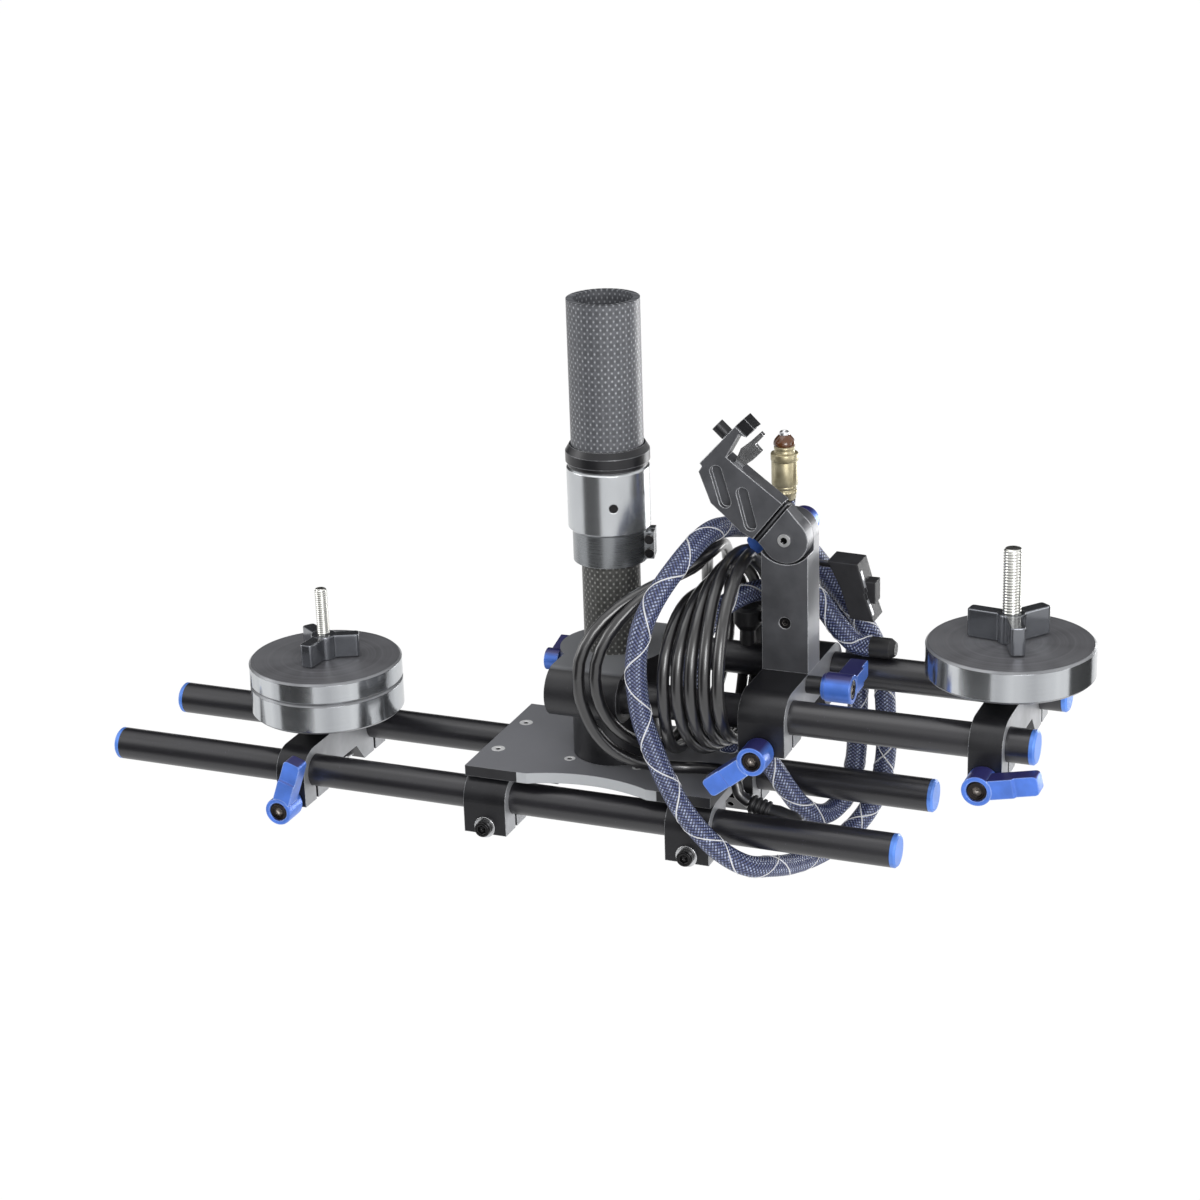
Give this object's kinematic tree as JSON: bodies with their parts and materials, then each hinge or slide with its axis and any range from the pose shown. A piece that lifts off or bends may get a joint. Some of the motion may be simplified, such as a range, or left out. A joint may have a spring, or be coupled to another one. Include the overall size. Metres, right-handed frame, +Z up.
{
  "type": "camera stabilizer sled",
  "caption": "Lower sled of a camera stabilizer: clamped post, rod pairs with sliding carriages, disc weights, tilting monitor arm, coiled and braided cables.",
  "frame": {"origin": "on the post axis at the top end of the upper post tube, where the gimbal above it grips", "axes": "+Z up along the post, +X along the rods towards the single thick weight, +Y away from the viewer, towards the rear rods"},
  "size_m": [0.4615, 0.1155, 0.2589],
  "materials": {
    "carbon_tube": "woven carbon under clear lacquer",
    "black_anodised": "black anodised, satin",
    "dark_anodised": "dark grey anodised, satin",
    "silver_satin": "satin",
    "blue_anodised": "blue anodised",
    "turned_steel": "turned, fine rings",
    "bright_steel": "bright",
    "black_screw": "black oxide",
    "black_plastic": "gloss",
    "dull_plastic": "matt",
    "braid": "woven sleeve with light tracer threads",
    "cable_jacket": "smooth, slightly glossy",
    "gold": "plated"
  },
  "bodies": {
    "post": {"upper_tube": "carbon_tube", "collar_ring": "black_anodised", "post_collar": "silver_satin", "collar_clamp": "silver_satin", "collar_screws": "bright_steel"},
    "sled_base": {"lower_tube": "carbon_tube", "base_block": "dark_anodised", "block_set_screws": "black_screw", "swivel_neck": "dark_anodised", "neck_ring": "black_anodised", "base_plate": "dark_anodised", "plate_screws": "bright_steel", "rod_clamps_left": "black_anodised", "rod_clamps_right": "black_anodised", "clamp_screws": "bright_steel", "lower_rod_front": "black_anodised", "lower_rod_rear": "black_anodised", "upper_rod_front": "black_anodised", "upper_rod_rear": "black_anodised", "rod_caps": "blue_anodised", "braided_cable": "braid", "heat_shrink_sleeve": "dull_plastic", "gold_connector": "gold", "outlet_box": "black_plastic", "outlet_lead": "cable_jacket", "black_cable": "cable_jacket", "strain_relief": "dull_plastic", "round_plug": "dull_plastic"},
    "block_lever": {"block_lever": "blue_anodised"},
    "left_carriage": {"left_bracket": "dark_anodised", "left_bolt": "bright_steel", "left_stud": "bright_steel", "left_weight_lower": "turned_steel", "left_weight_upper": "turned_steel"},
    "left_wing_nut": {"left_wing_nut": "black_plastic"},
    "left_lever": {"left_lever": "blue_anodised"},
    "right_carriage": {"right_bracket": "dark_anodised", "right_bolt": "bright_steel", "right_stud": "bright_steel", "right_weight": "turned_steel"},
    "right_wing_nut": {"right_wing_nut": "black_plastic"},
    "right_lever": {"right_lever": "blue_anodised"},
    "monitor_carriage": {"monitor_bracket": "dark_anodised", "monitor_bolt": "bright_steel", "arm_lock_boss": "black_anodised", "monitor_arm": "dark_anodised", "arm_screws": "black_screw", "hinge_bolt": "bright_steel"},
    "monitor_lever": {"monitor_lever": "blue_anodised"},
    "arm_lock_lever": {"arm_lock_lever": "blue_anodised"},
    "tilt_lever": {"tilt_lever": "blue_anodised"},
    "head": {"head_knuckle": "dark_anodised", "tilt_head": "dark_anodised", "head_fork": "silver_satin"},
    "head_jaw": {"head_jaw": "black_anodised"},
    "jaw_knob": {"jaw_knob": "dull_plastic"}
  },
  "joints": [
    {"name": "sled_height", "type": "slide", "parent": "post", "child": "sled_base", "axis": [0, 0, 1], "range_m": [-0.05, 0.03]},
    {"name": "block_lever_turn", "type": "hinge", "parent": "sled_base", "child": "block_lever", "pos_m": [-0.028, -0.0035, -0.1684], "axis": [1, 0, 0], "range_deg": [-110, 110]},
    {"name": "left_carriage_slide", "type": "slide", "parent": "sled_base", "child": "left_carriage", "axis": [1, 0, 0], "range_m": [-0.087, 0.064]},
    {"name": "left_nut_turn", "type": "hinge", "parent": "left_carriage", "child": "left_wing_nut", "pos_m": [-0.147, 0, -0.177], "axis": [0, 0, 1], "continuous": true},
    {"name": "left_lever_turn", "type": "hinge", "parent": "left_carriage", "child": "left_lever", "pos_m": [-0.147, -0.048, -0.2388], "axis": [0, 1, 0], "continuous": true},
    {"name": "right_carriage_slide", "type": "slide", "parent": "sled_base", "child": "right_carriage", "axis": [1, 0, 0], "range_m": [-0.018, 0.009]},
    {"name": "right_nut_turn", "type": "hinge", "parent": "right_carriage", "child": "right_wing_nut", "pos_m": [0.181, 0, -0.131], "axis": [0, 0, 1], "continuous": true},
    {"name": "right_lever_turn", "type": "hinge", "parent": "right_carriage", "child": "right_lever", "pos_m": [0.181, -0.048, -0.1828], "axis": [0, 1, 0], "continuous": true},
    {"name": "monitor_carriage_slide", "type": "slide", "parent": "sled_base", "child": "monitor_carriage", "axis": [1, 0, 0], "range_m": [0, 0.003]},
    {"name": "monitor_lever_turn", "type": "hinge", "parent": "monitor_carriage", "child": "monitor_lever", "pos_m": [0.0835, -0.048, -0.1828], "axis": [0, 1, 0], "range_deg": [-140, 0]},
    {"name": "arm_lock_turn", "type": "hinge", "parent": "monitor_carriage", "child": "arm_lock_lever", "pos_m": [0.108, -0.009, -0.1637], "axis": [1, 0, 0], "range_deg": [-100, 120]},
    {"name": "tilt_lever_turn", "type": "hinge", "parent": "monitor_carriage", "child": "tilt_lever", "pos_m": [0.0835, 0.015, -0.0992], "axis": [0, 1, 0], "range_deg": [0, 130]},
    {"name": "head_tilt", "type": "hinge", "parent": "monitor_carriage", "child": "head", "pos_m": [0.0835, -0.004, -0.0992], "axis": [0, 1, 0], "range_deg": [-3, 95]},
    {"name": "jaw_slide", "type": "slide", "parent": "head", "child": "head_jaw", "axis": [0.6769, 0, 0.7361], "range_m": [0, 0.003]},
    {"name": "jaw_knob_turn", "type": "hinge", "parent": "head", "child": "jaw_knob", "pos_m": [0.0569, -0.00375, -0.0554], "axis": [-0.7337, 0, 0.6794], "continuous": true}
  ]
}
